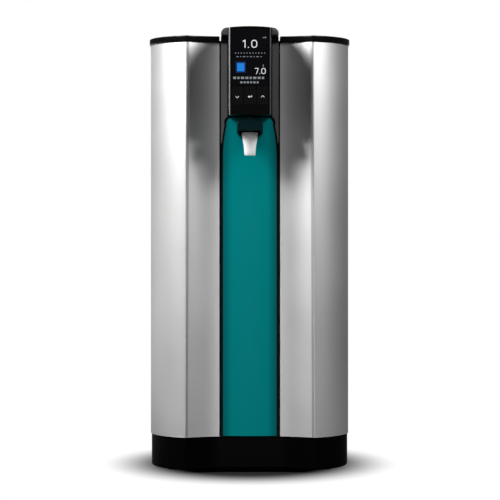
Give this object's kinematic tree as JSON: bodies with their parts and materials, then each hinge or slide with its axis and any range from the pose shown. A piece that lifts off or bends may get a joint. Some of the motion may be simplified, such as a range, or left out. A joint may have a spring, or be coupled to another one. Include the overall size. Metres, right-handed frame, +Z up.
{
  "type": "ultrapure water system",
  "caption": "Bench-top ultrapure water purifier: two ridged metal side covers, a recessed coloured front panel, a display head with keys and a white dispensing nozzle.",
  "frame": {"origin": "under the middle of the whole outline, on the surface the feet stand on", "axes": "+Z up; the display, keys and nozzle face -Y; +X is the right-hand side as the user faces it"},
  "size_m": [0.243, 0.35, 0.5285],
  "materials": {
    "silver_paint": "satin metallic",
    "gloss_black": "gloss",
    "base_plastic": "satin",
    "black_sheet": "satin",
    "teal_panel": "semi-gloss",
    "hood_plastic": "gloss",
    "key_plastic": "gloss",
    "window_glass": "gloss",
    "display": "gloss",
    "white_plastic": "satin",
    "tank_plastic": "translucent white",
    "cartridge_plastic": "satin",
    "tube": "clear",
    "rubber": "matte",
    "steel_sheet": "brushed",
    "rear_paint": "satin",
    "lamp_metal": "satin",
    "magnet": "dull ferrite",
    "brass": "satin",
    "rocker_plastic": "satin",
    "port_plastic": "satin",
    "lever_plastic": "satin",
    "circuit_board": "satin",
    "flat_cable": "satin"
  },
  "bodies": {
    "casing": {"base_tray": "base_plastic", "base_feet": "rubber", "deck_plate": "steel_sheet", "pivot_pins": "steel_sheet", "catch_magnets": "magnet", "right_cap": "gloss_black", "left_cap": "gloss_black", "column_cap": "gloss_black", "top_plate": "steel_sheet", "column": "black_sheet", "column_cover": "silver_paint", "front_panel": "teal_panel", "panel_gasket": "rubber", "head_shell": "gloss_black", "head_fascia": "gloss_black", "display_window": "window_glass", "display_module": "display", "display_board": "circuit_board", "display_cable": "flat_cable", "board_screws": "steel_sheet", "key_mat": "rubber", "spout_hood": "hood_plastic", "nozzle_seal": "rubber", "spout_tube": "tube", "rear_panel": "rear_paint", "rear_screws": "steel_sheet", "power_inlet": "base_plastic", "inlet_blades": "brass", "switch_frame": "base_plastic", "water_ports": "port_plastic", "drain_valve": "port_plastic", "tank_cradle": "base_plastic", "reservoir": "tank_plastic", "reservoir_lid": "tank_plastic", "tank_breather": "white_plastic", "level_rod": "steel_sheet", "left_socket": "base_plastic", "right_socket": "base_plastic", "socket_bracket": "steel_sheet", "uv_lamp": "lamp_metal", "ultrafilter": "tank_plastic", "module_clips": "base_plastic", "circulation_pump": "base_plastic", "pump_motor": "lamp_metal", "inlet_solenoid": "base_plastic", "conductivity_cell": "white_plastic", "power_supply": "lamp_metal", "board_carrier": "lamp_metal", "main_board": "circuit_board"},
    "right_door": {"right_cover": "silver_paint"},
    "left_door": {"left_cover": "silver_paint"},
    "down_key": {"key_down": "key_plastic"},
    "enter_key": {"key_enter": "key_plastic"},
    "up_key": {"key_up": "key_plastic"},
    "rocker": {"power_rocker": "rocker_plastic"},
    "lever": {"drain_lever": "lever_plastic"},
    "nozzle": {"spout_nozzle": "white_plastic"},
    "float": {"level_float": "white_plastic"},
    "left_filter": {"left_cartridge": "cartridge_plastic"},
    "right_filter": {"right_cartridge": "cartridge_plastic"}
  },
  "joints": [
    {"name": "right_cover_hinge", "type": "hinge", "parent": "casing", "child": "right_door", "pos_m": [0.1154, 0.1555, 0.275], "axis": [0, 0, 1], "range_deg": [0, 100]},
    {"name": "left_cover_hinge", "type": "hinge", "parent": "casing", "child": "left_door", "pos_m": [-0.1154, 0.1555, 0.275], "axis": [0, 0, 1], "range_deg": [-100, 0]},
    {"name": "key_down_press", "type": "slide", "parent": "casing", "child": "down_key", "axis": [0, 1, 0], "range_m": [0, 0.0008], "stiffness_N_per_m": 800},
    {"name": "key_enter_press", "type": "slide", "parent": "casing", "child": "enter_key", "axis": [0, 1, 0], "range_m": [0, 0.0008], "stiffness_N_per_m": 800},
    {"name": "key_up_press", "type": "slide", "parent": "casing", "child": "up_key", "axis": [0, 1, 0], "range_m": [0, 0.0008], "stiffness_N_per_m": 800},
    {"name": "power_rocker_tilt", "type": "hinge", "parent": "casing", "child": "rocker", "pos_m": [-0.02, 0.159, 0.092], "axis": [1, 0, 0], "range_deg": [0, 16]},
    {"name": "drain_lever_turn", "type": "hinge", "parent": "casing", "child": "lever", "pos_m": [0.058, 0.165, 0.083], "axis": [0, 0, 1], "range_deg": [0, 90]},
    {"name": "nozzle_pull", "type": "slide", "parent": "casing", "child": "nozzle", "axis": [0, 0, -1], "range_m": [0, 0.04]},
    {"name": "float_rise", "type": "slide", "parent": "casing", "child": "float", "axis": [0, 0, 1], "range_m": [0, 0.36]},
    {"name": "left_cartridge_turn", "type": "hinge", "parent": "casing", "child": "left_filter", "pos_m": [-0.0765, -0.026, 0.39], "axis": [0, 0, 1], "range_deg": [0, 45]},
    {"name": "right_cartridge_turn", "type": "hinge", "parent": "casing", "child": "right_filter", "pos_m": [0.0765, -0.026, 0.39], "axis": [0, 0, 1], "range_deg": [0, 45]}
  ]
}
